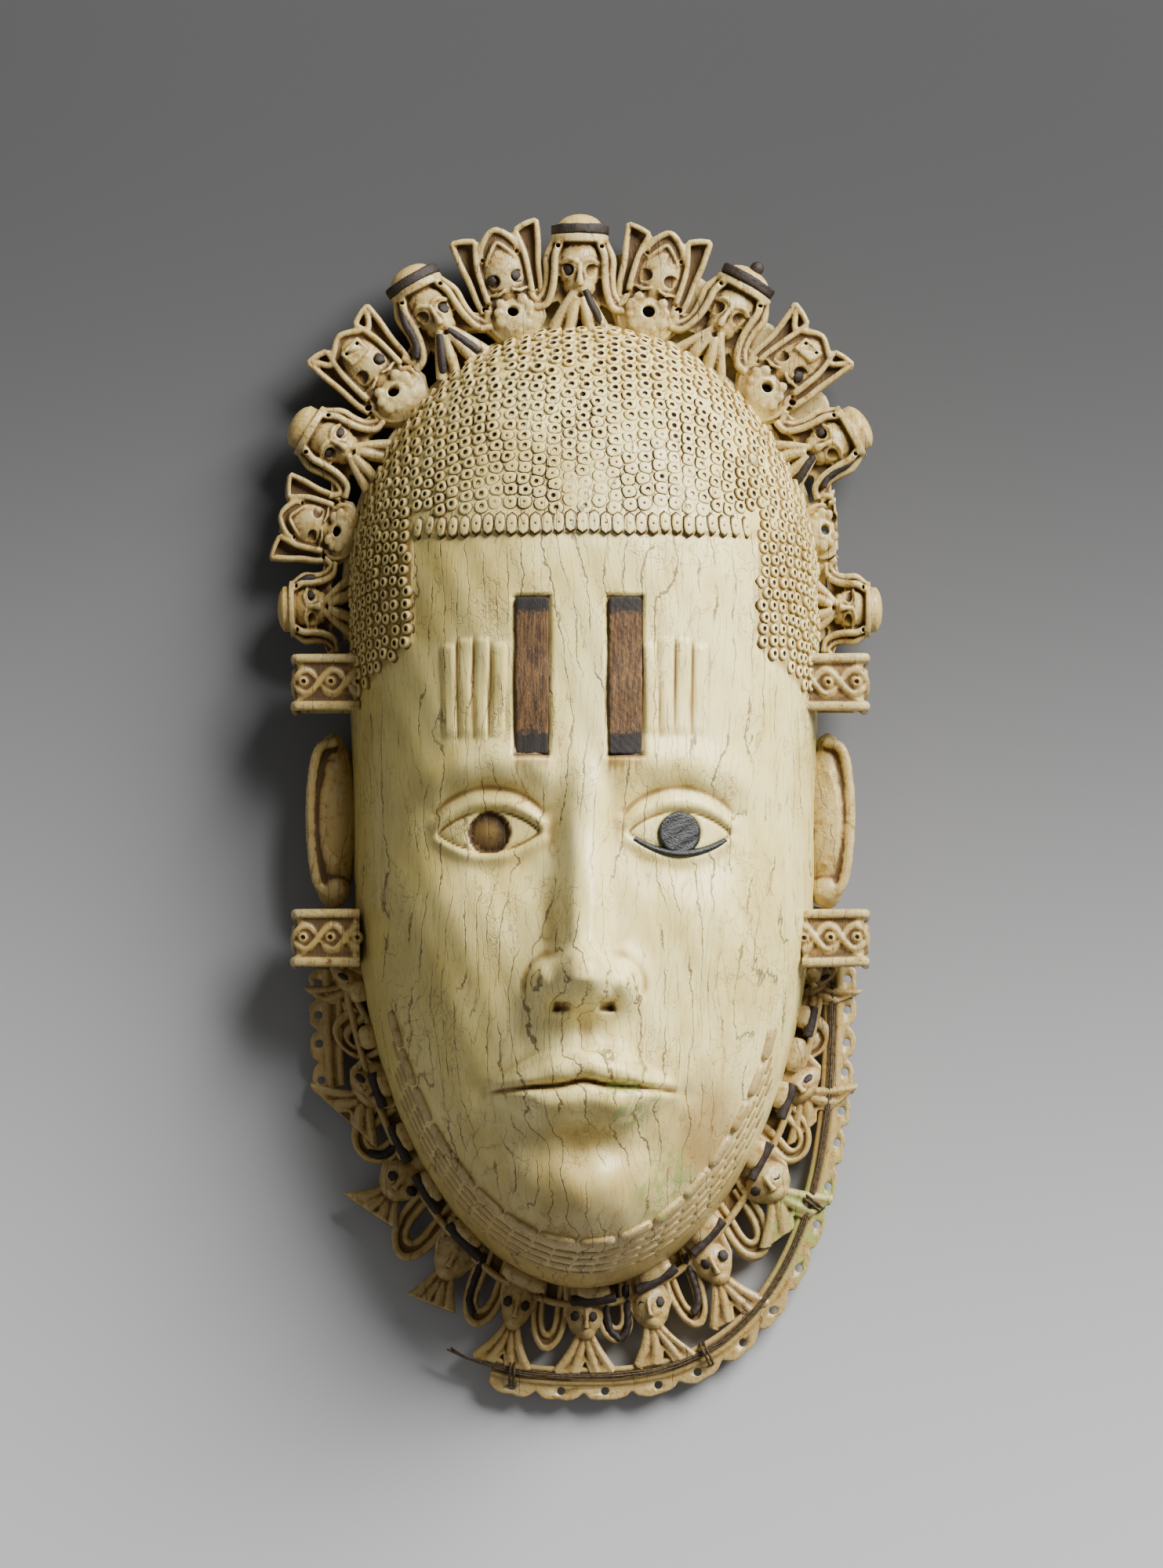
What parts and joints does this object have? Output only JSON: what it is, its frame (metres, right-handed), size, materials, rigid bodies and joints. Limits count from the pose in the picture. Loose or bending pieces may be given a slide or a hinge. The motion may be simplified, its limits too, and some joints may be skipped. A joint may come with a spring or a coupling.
{
  "type": "ivory pendant mask",
  "caption": "Hollow-backed carved ivory face mask with a curled cap, a crown of small figures, side loops for cords and an openwork collar.",
  "frame": {"origin": "on the surface it lies on, under the middle of the mask's box", "axes": "+Y runs from collar to crown, +Z out of the face, +X to the viewer's right"},
  "size_m": [0.122, 0.238, 0.0631],
  "materials": {
    "ivory": "old polished ivory, satin, with brown dirt in the carving and fine age cracks",
    "dark_iron": "dark matt iron",
    "rusty_iron": "rusted iron with black ends",
    "bronze_wire": "dark tarnished copper-alloy wire"
  },
  "bodies": {
    "root": {"ivory_mask": "ivory", "forehead_strip_left": "rusty_iron", "forehead_strip_right": "rusty_iron", "iris_inlay": "dark_iron", "lower_lid_inlay": "dark_iron", "hat_band_middle": "dark_iron", "hat_band_left": "dark_iron", "hat_band_right": "dark_iron", "hat_stud": "dark_iron", "beard_inlay_middle": "dark_iron", "beard_inlay_left_a": "dark_iron", "beard_inlay_left_b": "dark_iron", "beard_inlay_right": "dark_iron", "hair_inlay_left": "dark_iron", "hair_inlay_right": "dark_iron", "hair_inlay_side": "dark_iron", "neck_inlay_1": "dark_iron", "neck_inlay_2": "dark_iron", "neck_inlay_3": "dark_iron", "neck_inlay_4": "dark_iron", "neck_inlay_5": "dark_iron", "neck_inlay_6": "dark_iron", "neck_inlay_7": "dark_iron", "neck_inlay_8": "dark_iron", "neck_inlay_9": "dark_iron", "neck_inlay_10": "dark_iron", "collar_hair_inlay_1": "dark_iron", "collar_hair_inlay_2": "dark_iron", "collar_hair_inlay_3": "dark_iron", "collar_hair_inlay_4": "dark_iron", "collar_hair_inlay_5": "dark_iron", "collar_wire": "bronze_wire", "wire_tie_1": "bronze_wire", "wire_tie_2": "bronze_wire", "wire_tie_3": "bronze_wire"}
  },
  "joints": []
}
